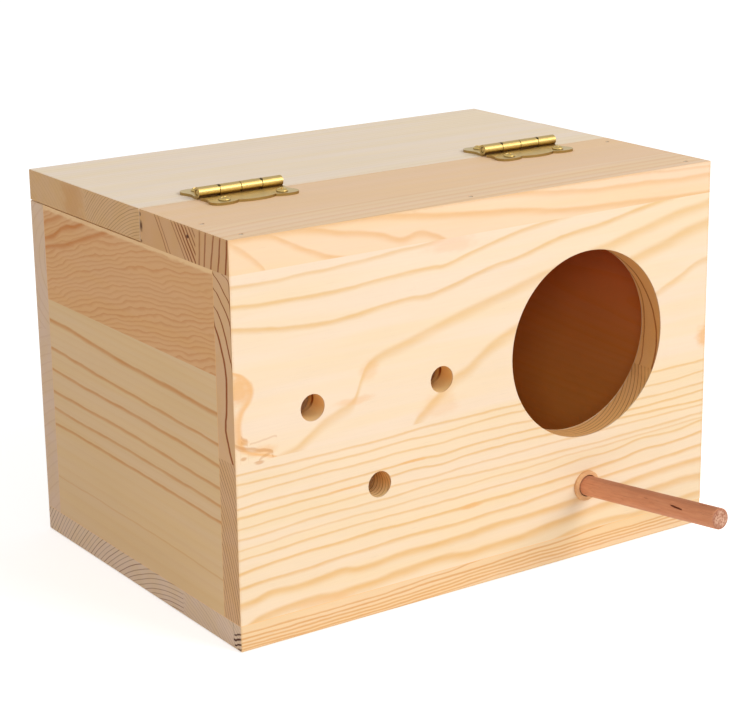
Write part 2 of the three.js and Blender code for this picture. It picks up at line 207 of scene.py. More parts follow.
FRONT_LOW_LINES = [
    ([(0, 53.4), (20, 53.4), (50, 54.1), (62, 54.7), (90, 54.9), (175, 55.4)], 0.8, 0.9),
    ([(0, 50.5), (20, 50.6), (30, 51.2), (45, 51.3), (57, 52), (70, 51.8), (90, 52.6), (150, 51),
      (175, 51.9)], 0.75, 0.8),
    ([(0, 47), (10, 47.5), (25, 48), (45, 48.2), (57, 48.8), (67, 48.6), (78, 49.1), (99, 49.2), (145, 47.4),
      (175, 47.8)], 0.75, 0.8),
    ([(0, 43.2), (10, 43.8), (27, 44.2), (42, 44.5), (55, 45), (62, 45.3), (70, 44.9), (80, 45.6), (103, 46),
      (140, 44.7), (175, 45.3)], 0.9, 0.9),
    ([(0, 40.5), (10, 41), (25, 41.3), (38, 41.7), (55, 42.1), (63, 42.4), (70, 42), (80, 42.8), (107, 43),
      (175, 42)], 0.9, 0.9),
    ([(0, 37.2), (10, 37.6), (23, 38), (36, 38.5), (57, 39), (66, 38.8), (80, 39.3), (112, 40), (175, 40.4)],
     0.7, 0.8),
    ([(0, 34.1), (8, 34.2), (17, 34.8), (24, 35.2), (35, 35.6), (45, 35.5), (60, 36), (73, 36.7), (90, 36.3),
      (110, 36.4), (150, 37), (175, 37.6)], 0.75, 0.9),
    ([(0, 30.9), (10, 31.3), (20, 31.9), (40, 32.7), (50, 32.5), (70, 33.2), (90, 33.7), (120, 34.6),
      (175, 36)], 0.6, 0.7),
    ([(0, 27.8), (10, 28.6), (20, 29), (30, 29.5), (40, 29.8), (65, 30), (80, 30.3), (105, 31), (115, 31.5),
      (125, 32.3), (135, 32.4), (148, 34), (160, 33.9), (175, 35.2)], 0.8, 0.9),
    ([(0, 24), (10, 24.9), (20, 25.5), (40, 26), (50, 26.4), (60, 26.3), (75, 26.7), (95, 27), (110, 27.4),
      (130, 28.5), (140, 29), (148, 30.2), (160, 30.3), (175, 31.3)], 0.95, 1.3),
    ([(0, 19.6), (10, 20.1), (20, 20.4), (37, 21.3), (55, 22.1), (65, 22.1), (75, 21.9), (85, 22.4),
      (105, 23.1), (115, 24), (135, 24.8), (145, 25.1), (160, 26), (175, 26.7)], 0.9, 1.5),
    ([(0, 14.4), (5, 15), (10, 16.1), (20, 16), (30, 16.5), (35, 16.8), (40, 16.2), (45, 16.2), (52, 17),
      (60, 17.2), (70, 17.1), (80, 17.4), (88, 18.1), (105, 18.4), (115, 19), (125, 19.6), (145, 20.6),
      (155, 21.6), (165, 22.1), (175, 21.9)], 0.95, 2.7),
    ([(0, 6), (5, 8.6), (10, 9.7), (16, 10.4), (25, 10.7), (32, 10.1), (40, 10.4), (47, 10.7), (53, 11.3),
      (60, 11.7), (68, 12.4), (73, 12.3), (80, 11.5), (88, 11.8), (95, 12), (105, 12.5), (113, 13.4),
      (125, 14.5), (150, 15.8), (160, 16.4), (168, 16.8), (175, 16.2)], 0.95, 3.2),
    ([(0, 0), (100, 5.5), (113, 7.6), (120, 8.9), (130, 9.8), (137, 9.8), (147, 9.2), (160, 9.8),
      (175, 10.4)], 0.8, 2.6),
]

# The edge of the knotty patch at the front panel's left end: points up and along from that end
KNOT_LINES = [
    ([(0, 0), (50, 0), (55.5, 13), (57.2, 10.5), (58.5, 6), (60.6, 2.7), (65, 1.6), (70, 2.3), (73.8, 5),
      (77, 5.8), (80.6, 3.8), (82.9, 0), (84, -4), (120, -9)], 0.85, 3.2),
]
# Thin streaks of bark below it: points along and up, strength, half the thickness
BARK_STREAKS = [
    ([(0, 62), (2, 60.9), (4, 60.2), (6, 59.8), (8, 59.1), (10, 58.7), (11.6, 58.1), (12.4, 57.6), (13, 40),
      (175, 40)], 0.5, 0.42),
    ([(0, 61.6), (2, 60.2), (4, 59.7), (6.5, 59.1), (8.4, 58.6), (8.8, 40), (175, 40)], 0.32, 0.3),
    ([(0, 40), (7, 40), (7.5, 55.8), (8.8, 56.9), (10.4, 57.4), (12.2, 57.9), (12.6, 40),
      (175, 40)], 0.36, 0.42),
    ([(0, 40), (1.2, 40), (1.6, 64.2), (2.8, 63.1), (4.4, 62.2), (4.8, 40), (175, 40)], 0.36, 0.5),
    ([(0, 40), (1.4, 40), (1.8, 62.5), (3, 61.9), (4.2, 61.3), (4.6, 40), (175, 40)], 0.3, 0.42),
    ([(0, 40), (4, 40), (4.4, 61.2), (7, 61.6), (10, 62), (14, 61.9), (14.4, 40), (175, 40)], 0.25, 0.25),
]

# Growth lines drawn on the roof strip's front edge
STRIP_LINES = [
    ([(0, 119.6), (1.2, 118.5), (5, 116), (8, 113.5), (11, 110.5), (14, 105), (175, 100)], 0.55, 2.4),
    ([(0, 120), (11, 120), (14, 119.4), (17, 117.8), (22, 115.3), (27, 113), (32, 111), (37, 109.9),
      (60, 105), (175, 100)], 0.7, 2.2),
    ([(0, 120), (23.4, 120), (30, 118.8), (36, 117.2), (43, 116.2), (50, 114.5), (53.8, 113.2), (57, 112.4),
      (63.2, 113.3), (68, 111.9), (80, 106), (175, 100)], 0.75, 2.4),
    ([(0, 120), (49.7, 120), (55, 119.4), (65, 118.3), (75, 117), (85, 116.1), (100.7, 114.8), (110, 113.3),
      (120, 112.4), (132.9, 111.8), (156.3, 110.8), (175, 110.3)], 0.75, 2.4),
    ([(0, 120), (99.5, 120), (109.5, 118.8), (118, 118.2), (125, 117.4), (140, 117.1), (160, 116.3),
      (175, 115.9)], 0.65, 2.0),
    ([(0, 120), (140, 120), (150, 119.6), (160, 119.1), (175, 118.4)], 0.5, 1.0),
]

# Growth lines drawn on the floor's front edge
FLOOR_LINES = [
    ([(0, 5.7), (45, 5.8), (55, 6.1), (63, 6.6), (73, 7.1), (82, 8), (175, 12)], 0.85, 0.5),
    ([(0, 4.2), (30, 4.2), (45, 4.5), (55, 4.8), (63, 5.2), (72, 5.5), (85, 5.7), (95, 6.2), (112, 6.6),
      (130, 8), (175, 11)], 1.0, 0.6),
    ([(0, 2.9), (30, 3), (50, 3.3), (63, 3.7), (75, 4.3), (90, 4.8), (130, 5.2), (175, 5.6)], 0.9, 0.6),
    ([(0, 1.9), (8, 1.7), (30, 1.9), (50, 2.2), (63, 2.6), (75, 3.2), (90, 3.7), (110, 4), (175, 4.5)],
     0.9, 0.6),
    ([(0, 0.9), (30, 0.9), (50, 1.2), (63, 1.6), (75, 2.1), (90, 2.6), (130, 3), (175, 3.4)], 0.9, 0.6),
    ([(0, 0), (40, 0.1), (60, 0.5), (80, 1.2), (100, 1.6), (175, 2.2)], 0.8, 0.5),
]

# Growth lines drawn on the left side: points along from the back and up
LEFT_LINES = [
    ([(0, 74), (9, 73.4), (30, 72.7), (50, 71.1), (80, 70.3), (113, 69), (122, 68.8)], 1.0, 1.7),
    ([(0, 64.4), (9, 64.1), (30, 63.1), (60, 62), (100, 60.6), (113, 60), (122, 59.8)], 0.95, 1.3),
    ([(0, 57.3), (9, 57.1), (30, 56.3), (60, 55.8), (90, 54.9), (113, 53.7), (122, 53.5)], 0.95, 1.3),
    ([(0, 49.8), (9, 49.6), (40, 49.2), (60, 49), (113, 47.1), (122, 46.9)], 0.9, 1.3),
    ([(0, 44.2), (9, 44), (30, 43.5), (60, 43.2), (113, 41.8), (122, 41.6)], 0.85, 1.2),
    ([(0, 38.6), (9, 38.6), (30, 38.6), (60, 38.2), (90, 37.4), (113, 36.7), (122, 36.6)], 0.95, 1.2),
    ([(0, 20.8), (60, 20.6), (80, 20.3), (113, 19.2), (122, 19)], 0.4, 0.6),
]
LEFT_STREAKS = [
    ([(0, 96), (9, 104.6), (16, 107.3), (22, 109.6), (40, 120), (122, 120)], 0.8, 2.2),
    ([(0, 96.5), (9, 99.8), (16, 102), (22, 105.3), (30, 107.2), (37, 109.6), (60, 118),
      (122, 120)], 1.0, 2.2),
    ([(0, 92), (9, 96.8), (16, 98.6), (22, 99.8), (27, 101.4), (33, 103.6), (44, 107), (54, 110.4),
      (80, 119), (122, 120)], 0.9, 2.0),
]

# Thin rings drawn on end grain, each with its points, its strength and half its thickness.
# Here the points are up the panel and in from its front face.
FRONT_END_LINES = [
    ([(0, 0), (100, 0), (107.4, 0.3), (109.8, 3.6), (112, 7), (120, 10)], 0.9, 0.26),
    ([(0, 0), (101, 0), (102.6, 0.7), (104.5, 2.8), (106, 4.4), (108, 6.8), (109.8, 9.2),
      (120, 12)], 1.0, 0.3),
    ([(0, 0), (94, 0), (96.5, 0.5), (98.5, 1.7), (100, 3), (102, 5), (104, 7), (106.2, 9.7), (120, 12)],
     1.0, 0.3),
    ([(0, 0), (84, 0), (86, 0.8), (89, 1.8), (92, 3), (95, 4.4), (97, 5.7), (99, 7.4), (101, 9.7), (120, 12)],
     1.0, 0.32),
    ([(0, 0), (54, 0), (56, 1.3), (60, 3), (62, 3.7), (64, 4.3), (66, 4.6), (70, 4), (75, 3.6), (80, 3.4),
      (84, 4), (87, 5), (90, 6.2), (93, 7.8), (95.5, 9.2), (120, 12)], 1.0, 0.42),
]
ENTRANCE_LINES = [
    ([(0, 0.5), (56, 0.5), (62, 1), (66, 1.6), (71, 2.7), (76, 3.7), (81, 4.9), (86, 5.9), (98, 9.5),
      (120, 12)], 0.75, 0.32),
    ([(0, 6), (56, 6.2), (65, 7.4), (70, 7.6), (75, 7.6), (80, 7.6), (88, 9), (120, 12)], 0.6, 0.26),
]
VENT_LINES = [
    ([(0, 9), (60, 8.4), (64, 7.8), (66, 7.0), (68, 6.4), (70, 5.8), (72, 5.4), (120, 4)], 1.0, 0.45),
]
# Thin dark splits at the floor's left front corner: points back from the front edge and up
FLOOR_SPLITS = [
    ([(0, 5.6), (2, 4.9), (4, 4.2), (4.4, 11.9), (120, 12)], 0.9, 0.24),
    ([(0, 4.1), (2, 3.4), (4.2, 2.7), (4.6, 11.9), (120, 12)], 1.0, 0.3),
    ([(0, 2.4), (2, 1.8), (3.8, 1.1), (4.2, 11.9), (120, 12)], 1.0, 0.26),
    ([(0, 1.0), (2, 0.4), (2.4, 11.9), (120, 12)], 0.8, 0.3),
]
# How far along the panel the vents reach
VENTS_END = 85
# How far in the lines on the front panel's and the floor's end may run
END_SPAN = 12
# How far from a board's left end a point still is on it, and where it no longer is
END_FALL = (0.3, 0.8)
# The roof strip's end lines: points down from the roof's top face and back from its front edge
STRIP_END_LINES = [
    ([(0, 0.7), (5, 1.2), (10, 2)], 1.0, 0.36),
    ([(0, 4.3), (5, 5), (10, 6)], 0.9, 0.32),
    ([(0, 7.7), (5, 8.8), (10, 9.8)], 0.8, 0.34),
    ([(0, 12), (5, 12.7), (10, 13.4)], 0.75, 0.34),
    ([(0, 15.2), (10, 16)], 0.6, 0.36),
]
STRIP_REAR_LINES = [
    ([(0, 40.8), (4, 37.8), (10, 34)], 0.7, 0.24),
    ([(0, 38.8), (4, 36), (10, 32.2)], 0.6, 0.22),
    ([(0, 31.4), (4, 28.2), (10, 23.6)], 0.6, 0.28),
    ([(0, 29.4), (4, 26.2), (10, 21.6)], 0.85, 0.3),
    ([(0, 27.6), (4, 24.4), (10, 19.8)], 0.9, 0.34),
    ([(0, 25.6), (4, 22.4), (10, 17.8)], 1.0, 0.36),
    ([(0, 23.7), (4, 20.5), (10, 15.9)], 0.9, 0.32),
    ([(0, 21.7), (4, 18.5), (10, 14)], 0.8, 0.3),
    ([(0, 19.8), (4, 16.6), (10, 12)], 0.7, 0.3),
]

# The heights between which the right side's inner face darkens with painted shade
INSIDE_SHADE_START, INSIDE_SHADE_END = 15.0, 95.0
# How strongly its inner face gets the painted light and shade, and the others
RIGHT_SHADE_SHARE, OTHER_SHADE_SHARE = 0.9, 0.6

# The marks in pine, with their lengths along, across and into the board
FIBRES = (16, 0.5, 0.5)
CLOUDS = (60, 9, 9)
BANDS = (110, 7, 7)
PORES = (7, 0.28, 0.28)
# How much the edges are worn
WEAR_SHARE = 0.25

# Each board's own axes: along the grain, across its face and inwards from its seen face.
# Each is an axis of the box (0 X, 1 Y, 2 Z), a direction, and the place where it starts.
BOARD_AXES = {
    "front": ((0, 1, -WIDTH / 2), (2, 1, 0), (1, 1, -DEPTH / 2)),
    "back": ((0, 1, -WIDTH / 2), (2, 1, 0), (1, -1, DEPTH / 2)),
    "left": ((1, -1, DEPTH / 2), (2, 1, 0), (0, 1, -WIDTH / 2)),
    "right": ((1, 1, -DEPTH / 2), (2, 1, 0), (0, -1, WIDTH / 2)),
    "roof": ((0, 1, -WIDTH / 2), (1, 1, -DEPTH / 2), (2, -1, HEIGHT)),
    "floor": ((0, 1, -WIDTH / 2), (1, 1, -DEPTH / 2), (2, 1, 0)),
}

# The wood of each stave. pith is where the middle of the tree lay, across and into the board, each with
# its drift along the grain. rings are the mean width of a growth ring and how uneven it is. wobble is the
# rings' waviness, how long a wave is and how broad. lines, edge_lines, knot_lines and streaks are drawn on
# the long faces, end_lines and end_splits on the left end, and bore_lines in the bored holes.
# A patch is its middle and half its size along and across, its colour and its strength; end_patches lie on
# the left end, with places across and into the board.
STAVES = {
    "front_panel_upper_stave": dict(
        board="front", face=CREAM, end=END_BROWN, pith=((75, 0.05), (37.8, 0)), rings=(4.0, 0.5),
        wobble=(0.5, 40, 12), lines=FRONT_LINES, knot_lines=KNOT_LINES, hidden_rings=0.0,
        end_lines=FRONT_END_LINES, bore_lines=True, streaks=BARK_STREAKS,
        patches=[(1.5, 77.5, 4.8, 4.8, KNOT, 0.85), (2.6, 62.6, 2.2, 1.5, KNOT, 0.8),
                 (9, 58.6, 5.5, 2, KNOT, 0.6), (2.6, 57.5, 1.4, 0.7, BARK, 0.5),
                 (74, 108.2, 12, 3.4, ROSE_PATCH, 0.6), (175, 63.5, 4.5, 5, FLAME, 0.7),
                 (40, 67.3, 9, 1.6, FLAME, 0.35), (45, 75.5, 4, 4, FLAME, 0.3),
                 (70, 60.5, 9, 5.5, FLAME, 0.22)]),
    "front_panel_lower_stave": dict(
        board="front", face=GOLDEN, end=END_ORANGE, pith=((-17, 0.024), (108, 0)), rings=(1.3, 0.6),
        wobble=(0.4, 45, 14), lines=FRONT_LOW_LINES, hidden_rings=0.0,
        patches=[(7.7, 55.6, 1.9, 0.8, BARK, 0.5), (81, 26.2, 6, 1.1, FLAME, 0.6),
                 (60, 45, 6, 0.6, FLAME, 0.6), (36, 41.5, 6, 0.6, FLAME, 0.5),
                 (28, 8.6, 14, 2.2, FLAME, 0.25)]),
    "back_panel_upper_stave": dict(
        board="back", face=CREAM, end=END_PINK, pith=((92, 0.02), (16, 0.05)), rings=(3.4, 0.8),
        wobble=(0.8, 50, 14), hidden_rings=0.8, end_rings=0.35),
    "back_panel_lower_stave": dict(
        board="back", face=GOLDEN, end=END_PINK, pith=((-30, 0.05), (40, 0)), rings=(3.0, 0.8),
        wobble=(0.7, 60, 14), hidden_rings=0.8, end_rings=0.3),
    "left_side_upper_stave": dict(
        board="left", face=SALMON, end=END_ORANGE, pith=((-30, 0), (70, 0)), rings=(1.3, 0.9),
        wobble=(2.2, 16, 8), hidden_rings=0.55, lines=LEFT_STREAKS,
        bend=[(0, 0), (9, 2.5), (30, 9.5), (50, 15), (70, 19), (90, 22), (113, 26), (122, 28)],
        patches=[(61, 109.7, 300, 1.3, PALE_BAND, 0.7)]),
    "left_side_lower_stave": dict(
        board="left", face=TAN, end=END_ORANGE, pith=((-20, -0.02), (60, 0)), rings=(2.0, 0.8),
        wobble=(0.3, 60, 14), lines=LEFT_LINES, hidden_rings=0.1),
    "right_side_upper_stave": dict(
        board="right", face=PEACH, end=END_ORANGE, pith=((70, 0.03), (15, 0.06)), rings=(3.0, 0.8),
        wobble=(0.8, 45, 12), hidden_rings=0.85),
    "right_side_lower_stave": dict(
        board="right", face=GOLDEN, end=END_ORANGE, pith=((-30, 0.02), (60, 0)), rings=(2.2, 0.8),
        wobble=(0.5, 50, 12), hidden_rings=0.8),
    "roof_strip_front_stave": dict(
        board="roof", face=PEACH, end=END_STRIP, pith=((-60, 0), (19, 0)), rings=(3.8, 0.4),
        wobble=(0.4, 50, 9), hidden_rings=0.55, edge_lines=STRIP_LINES, end_lines=STRIP_END_LINES,
        bend=[(0, 0), (10, 1.5), (24, 3.0), (45, 4.3), (100, 6.5), (175, 8)]),
    "roof_strip_rear_stave": dict(
        board="roof", face=ROSE, end=END_STRIP, pith=((80, 0.02), (48, 0)), rings=(1.15, 0.9),
        wobble=(0.35, 60, 8), hidden_rings=0.3, end_lines=STRIP_REAR_LINES, end_rings=0.25,
        end_patches=[(22, 3, 0.9, 0.7, CHIP, 0.9), (49.5, 1.5, 0.9, 0.8, CHIP, 1.0),
                     (49.2, 4.6, 1.6, 2.0, CHIP, 1.0), (49.4, 9.3, 1.4, 0.7, CHIP, 0.9)]),
    "lid_front_stave": dict(
        board="roof", face=GREYISH, end=END_TAN, pith=((40, 0.03), (47, 0)), rings=(0.95, 0.6),
        wobble=(0.3, 60, 10), hidden_rings=0.4),
    "lid_rear_stave": dict(
        board="roof", face=GREYISH, end=END_TAN, pith=((150, 0), (60, 0)), rings=(1.6, 0.8),
        wobble=(0.4, 60, 12), hidden_rings=0.4, end_rings=0.2,
        end_patches=[(92, 5, 9, 14, DARK_END, 0.5)]),
    "floor_front_stave": dict(
        board="floor", face=APRICOT, end=END_MAUVE, pith=((50, 0.02), (-50, 0)), rings=(1.25, 0.6),
        wobble=(0.5, 60, 6), hidden_rings=1.0, edge_lines=FLOOR_LINES, end_rings=0.5,
        end_splits=FLOOR_SPLITS),
    "floor_rear_stave": dict(
        board="floor", face=TAN, end=END_MAUVE, pith=((32, 0.02), (-63, 0)), rings=(1.5, 0.7),
        wobble=(0.3, 60, 12), hidden_rings=0.9),
}


class Graph:
    """Short names for making the nodes of one material or of the world."""

    def __init__(self, owner):
        owner.use_nodes = True
        self.owner = owner
        self.tree = owner.node_tree
        self.tree.nodes.clear()

    def put(self, socket, value):
        if isinstance(value, bpy.types.NodeSocket):
            self.tree.links.new(value, socket)
        else:
            socket.default_value = value

    def node(self, kind, inputs=None, **settings):
        made = self.tree.nodes.new("ShaderNode" + kind)
        for key, value in settings.items():
            setattr(made, key, value)
        for key, value in (inputs or {}).items():
            self.put(made.inputs[key], value)
        return made

    def math(self, operation, *values):
        made = self.node("Math", operation=operation)
        for place, value in enumerate(values):
            self.put(made.inputs[place], value)
        return made.outputs[0]

    def joined(self, operation, values):
        total = values[0]
        for value in values[1:]:
            total = self.math(operation, total, value)
        return total

    def add(self, *values):
        return self.joined("ADD", values)

    def times(self, *values):
        return self.joined("MULTIPLY", values)

    def most(self, *values):
        return self.joined("MAXIMUM", values)

    def less(self, first, second):
        return self.math("SUBTRACT", first, second)

    def step(self, value, low, high):
        """0 below low, 1 above high and a smooth rise between."""
        inputs = {"Value": value, "From Min": low, "From Max": high}
        return self.node("MapRange", inputs, interpolation_type="SMOOTHSTEP").outputs["Result"]

    def fall(self, value, low, high):
        """1 below low, 0 above high and a smooth fall between."""
        return self.less(1.0, self.step(value, low, high))

    def spread(self, value, low, high):
        """A value of 0 to 1, moved to the range from low to high."""
        inputs = {"Value": value, "To Min": low, "To Max": high}
        return self.node("MapRange", inputs).outputs["Result"]

    def facing(self):
        """The three parts of the direction that the surface faces."""
        return self.node("SeparateXYZ", {0: self.node("TexCoord").outputs["Normal"]}).outputs

    def place(self):
        """The point's X, Y and Z in millimetres."""
        parts = self.node("SeparateXYZ", {0: self.node("TexCoord").outputs["Object"]}).outputs
        return [self.times(part, 1 / MM) for part in parts[:3]]

    def vector(self, x, y, z):
        return self.node("CombineXYZ", {"X": x, "Y": y, "Z": z}).outputs[0]

    def stretched(self, place, lengths, detail=2.0, roughness=0.5):
        """Noise whose marks have these lengths along the three parts of place."""
        parts = [self.times(part, 1 / length) for part, length in zip(place, lengths)]
        return self.noise(self.vector(*parts), 1.0, detail, roughness)

    def noise(self, vector, scale, detail=2.0, roughness=0.5):
        inputs = {"Vector": vector, "Scale": scale, "Detail": detail, "Roughness": roughness}
        return self.node("TexNoise", inputs).outputs[0]

    def mix(self, share, first, second, kind="MIX"):
        made = self.node("Mix", data_type="RGBA", blend_type=kind)
        self.put(made.inputs[0], share)
        self.put(made.inputs[6], first)
        self.put(made.inputs[7], second)
        return made.outputs[2]

    def coated(self, color, *coats):
        """Lays other colours over one: each coat is its mask, its strength and its colour of 0 to 255."""
        for mask, strength, other in coats:
            color = self.mix(self.times(mask, strength), color, linear(*other))
        return color

    def tint(self, color, by):
        """A colour multiplied by another."""
        return self.mix(1.0, color, by, "MULTIPLY")

    def curve(self, value, points, width, height):
        """A smooth curve through points, which run from 0 to width across and from 0 to height up."""
        made = self.node("FloatCurve", {"Value": self.times(value, 1 / width)})
        line = made.mapping.curves[0]
        for place, (x, y) in enumerate(points):
            if place < 2:
                line.points[place].location = (x / width, y / height)
            else:
                line.points.new(x / width, y / height)
        made.mapping.update()
        return self.times(made.outputs[0], height)

    def finish(self, color, roughness, height, distance, **settings):
        """The surface shader and its bump; settings go on the shader's own sockets."""
        bump = self.node("Bump", {"Height": height, "Distance": distance * MM, "Strength": 1.0})
        shader = self.node("BsdfPrincipled")
        self.put(shader.inputs["Base Color"], color)
        self.put(shader.inputs["Roughness"], roughness)
        self.put(shader.inputs["Normal"], bump.outputs[0])
        for key, value in settings.items():
            shader.inputs[key.replace("_", " ")].default_value = value
        output = self.node("OutputMaterial")
        self.tree.links.new(shader.outputs[0], output.inputs["Surface"])
        return self.owner


def material_graph(name):
    return Graph(bpy.data.materials.new(name))


def board_place(g, board):
    """The point's places along, across and into the board, and whether it faces along or across the grain."""
    place, facing = g.place(), g.facing()
    found = []
    for axis, direction, start in BOARD_AXES[board]:
        found.append(g.times(g.less(place[axis], start), direction))
    end, side = (g.step(g.math("ABSOLUTE", facing[BOARD_AXES[board][part][0]]), 0.55, 0.9) for part in (0, 1))
    return found, end, side


def ring_distance(g, place, stave):
    """How far the point lies from the tree's pith, which runs along the board, with some waviness."""
    along, across, depth = place
    (across_start, across_drift), (depth_start, depth_drift) = stave["pith"]
    amount, length, breadth = stave["wobble"]
    side = g.less(across, g.add(g.times(along, across_drift), across_start))
    if "bend" in stave:
        side = g.less(side, g.curve(along, stave["bend"], WIDTH, HEIGHT))
    below = g.less(depth, g.add(g.times(along, depth_drift), depth_start))
    distance = g.math("SQRT", g.add(g.times(side, side), g.times(below, below)))
    wave = g.stretched(place, (length, breadth, breadth), detail=2.5)
    return g.add(distance, g.times(g.less(wave, 0.5), 2 * amount))


def counted_rings(g, distance, spacing, uneven):
    """Growth rings, soft as on a face and crisp as on end grain: each darkens outwards and ends sharply."""
    slow = g.noise(g.vector(g.times(distance, 0.21 / spacing), 3.7, 1.3), 1.0)
    turns = g.add(g.times(distance, 1 / spacing), g.times(slow, uneven))
    share = g.math("FRACT", turns)
    chance = g.node("TexWhiteNoise", {"W": g.math("FLOOR", turns)}, noise_dimensions="1D").outputs[0]
    strength = g.times(g.fall(share, 0.92, 1.0), g.spread(chance, 0.5, 1.0))
    soft = g.times(g.step(share, 0.35, 0.9), strength)
    crisp = g.times(g.step(share, 0.7, 0.9), strength)
    return soft, crisp


def drawn_lines(g, place, lines, length, top=HEIGHT):
    """Growth lines drawn across a face: soft below and sharp above."""
    along, across = place[:2]
    wave = g.times(g.less(g.stretched(place, (14, 5, 5), detail=3.0), 0.5), 1.2)
    waved = g.add(across, wave)
    patchy = g.spread(g.stretched(place, (12, 2.5, 2.5), detail=3.0), 0.7, 1.25)
    total = 0.0
    for points, strength, softness in lines:
        above = g.less(waved, g.curve(along, points, length, top))
        rise = g.step(above, -softness, -0.15)
        fall = g.fall(above, -0.1, 0.35 + 0.1 * softness ** 2)
        total = g.most(total, g.times(rise, fall, strength))
    return g.times(total, patchy)


def thin_lines(g, place, lines, length, top):
    """Growth rings drawn on end grain, as thin dark lines of about even thickness."""
    along, across = place
    wave = g.times(g.less(g.stretched((along, across, 0.0), (3, 3, 3), detail=3.0), 0.5), 0.5)
    waved = g.add(across, wave)
    total = 0.0
    for points, strength, half in lines:
        apart = g.math("ABSOLUTE", g.less(waved, g.curve(along, points, length, top)))
        mark = g.fall(apart, 0.5 * half, 1.7 * half)
        total = g.most(total, g.times(mark, strength))
    return total


def edge_wear(g, low, high):
    """1 at the edges of the box from low to high and 0 a little way in, broken up by noise."""
    place = g.node("TexCoord").outputs["Object"]
    parts = g.node("SeparateXYZ", {0: place}).outputs
    near = []
    for axis in range(3):
        inside = g.math("MINIMUM", g.less(parts[axis], low[axis]), g.less(high[axis], parts[axis]))
        near.append(g.times(inside, 1 / MM))
    smaller = g.math("MINIMUM", near[0], near[1])
    larger = g.most(near[0], near[1])
    middle = g.most(smaller, g.math("MINIMUM", larger, near[2]))
    ragged = g.times(g.noise(place, 900.0, 3.0), 0.9)
    return g.fall(g.less(middle, ragged), -0.2, 0.3)


def patched(g, color, place, patches, share=1.0):
    """Adds soft spots of other colours to a face."""
    along, across = place[:2]
    edge = g.times(g.less(g.stretched(place, (5, 2.5, 2.5), detail=3.0), 0.5), 1.1)
    for middle_along, middle_across, half_length, half_width, other, strength in patches:
        x = g.times(g.less(along, middle_along), 1 / half_length)
        y = g.times(g.less(across, middle_across), 1 / half_width)
        reach = g.add(g.math("SQRT", g.add(g.times(x, x), g.times(y, y))), edge)
        spot = g.times(g.fall(reach, 0.35, 1.05), strength, share)
        color = g.mix(spot, color, other)
    return color


def painted_inside_shade(g, board, color, place):
    """Paints shade and light on the inner face of a wall or the floor, in place of the light bounced round
    inside the box. The right side's is painted lighter low, and darker and redder higher up.
    """
    across, depth = place[1:]
    thickness = FLOOR if board == "floor" else WALL
    inside = g.step(depth, thickness - 0.2, thickness - 0.05)
    if board == "right":
        # Painted light low and painted shade higher up on the right side's inner face
        deep = g.mix(g.step(across, INSIDE_SHADE_START, INSIDE_SHADE_END), INSIDE_LIT_LOW, INSIDE_SHADED_HIGH)
        return g.mix(g.times(inside, RIGHT_SHADE_SHARE), color, deep)
    # Painted warm shade on the other inner faces
    return g.mix(g.times(inside, OTHER_SHADE_SHARE), color, INSIDE_BOUNCE_SHADE)


def bore_bottom(g):
    """1 at the bottom of a bored hole, and 0 on its sides and top."""
    return g.step(g.facing()[2], 0.0, 0.95)


def bore_tint_and_painted_light(g, along):
    """What the end grain's colour is multiplied by on the walls of the bored holes; their upward-facing
    bottoms are painted lighter with painted light.
    """
    # Painted light: the bottoms of the holes lighter and yellower
    bottom = bore_bottom(g)
    at_vents = g.fall(along, VENTS_END - 1, VENTS_END)
    return g.mix(at_vents, g.mix(bottom, *ENTRANCE_WALL_AND_LIT_BOTTOM), g.mix(bottom, *VENT_WALL_AND_LIT_BOTTOM))


def bore_share(g, place):
    """1 on the walls of the holes bored through the front panel, and 0 on its faces and ends."""
    share = 1.0
    for part, end in ((place[0], WIDTH), (place[2], WALL)):
        inside = g.math("MINIMUM", part, g.less(end, part))
        share = g.times(g.step(inside, 0.25, 0.5), share)
    return share


def face_figure(g, stave, place, side, soft_rings, length):
    """How dark the growth lines are on the long faces."""
    along, across, depth = place
    figure = g.times(soft_rings, stave["hidden_rings"])
    if "lines" in stave:
        figure = g.most(figure, drawn_lines(g, place, stave["lines"], length))
    if "edge_lines" in stave:
        height = g.less(HEIGHT, depth) if stave["board"] == "roof" else depth
        drawn = drawn_lines(g, (along, height, across), stave["edge_lines"], length)
        figure = g.add(figure, g.times(side, g.less(drawn, figure)))
    return figure


def end_figure(g, stave, place, crisp_rings):
    """How dark the rings are on end grain. Those of the left end and of the bored holes may be drawn."""
    along, across, depth = place
    figure = g.times(crisp_rings, stave.get("end_rings", 1.0))
    if "end_lines" in stave:
        if stave["board"] == "roof":
            drawn = thin_lines(g, (depth, across), stave["end_lines"], HEIGHT - WALL_TOP, DEPTH)
        else:
            drawn = thin_lines(g, (across, depth), stave["end_lines"], HEIGHT, END_SPAN)
        figure = g.add(figure, g.times(g.fall(along, *END_FALL), g.less(drawn, figure)))
    if "bore_lines" in stave:
        past_vents = g.step(along, VENTS_END - 1, VENTS_END)
        fading = g.times(g.less(1.0, past_vents), g.less(1.0, g.times(bore_bottom(g), 0.9)))
        drawn = g.add(g.times(past_vents, thin_lines(g, (across, depth), ENTRANCE_LINES, HEIGHT, END_SPAN)),
                      g.times(fading, thin_lines(g, (across, depth), VENT_LINES, HEIGHT, END_SPAN)))
        bored = g.times(g.step(along, *END_FALL), g.step(g.less(WIDTH, along), *END_FALL))
        figure = g.add(figure, g.times(bored, g.less(drawn, figure)))
    return figure


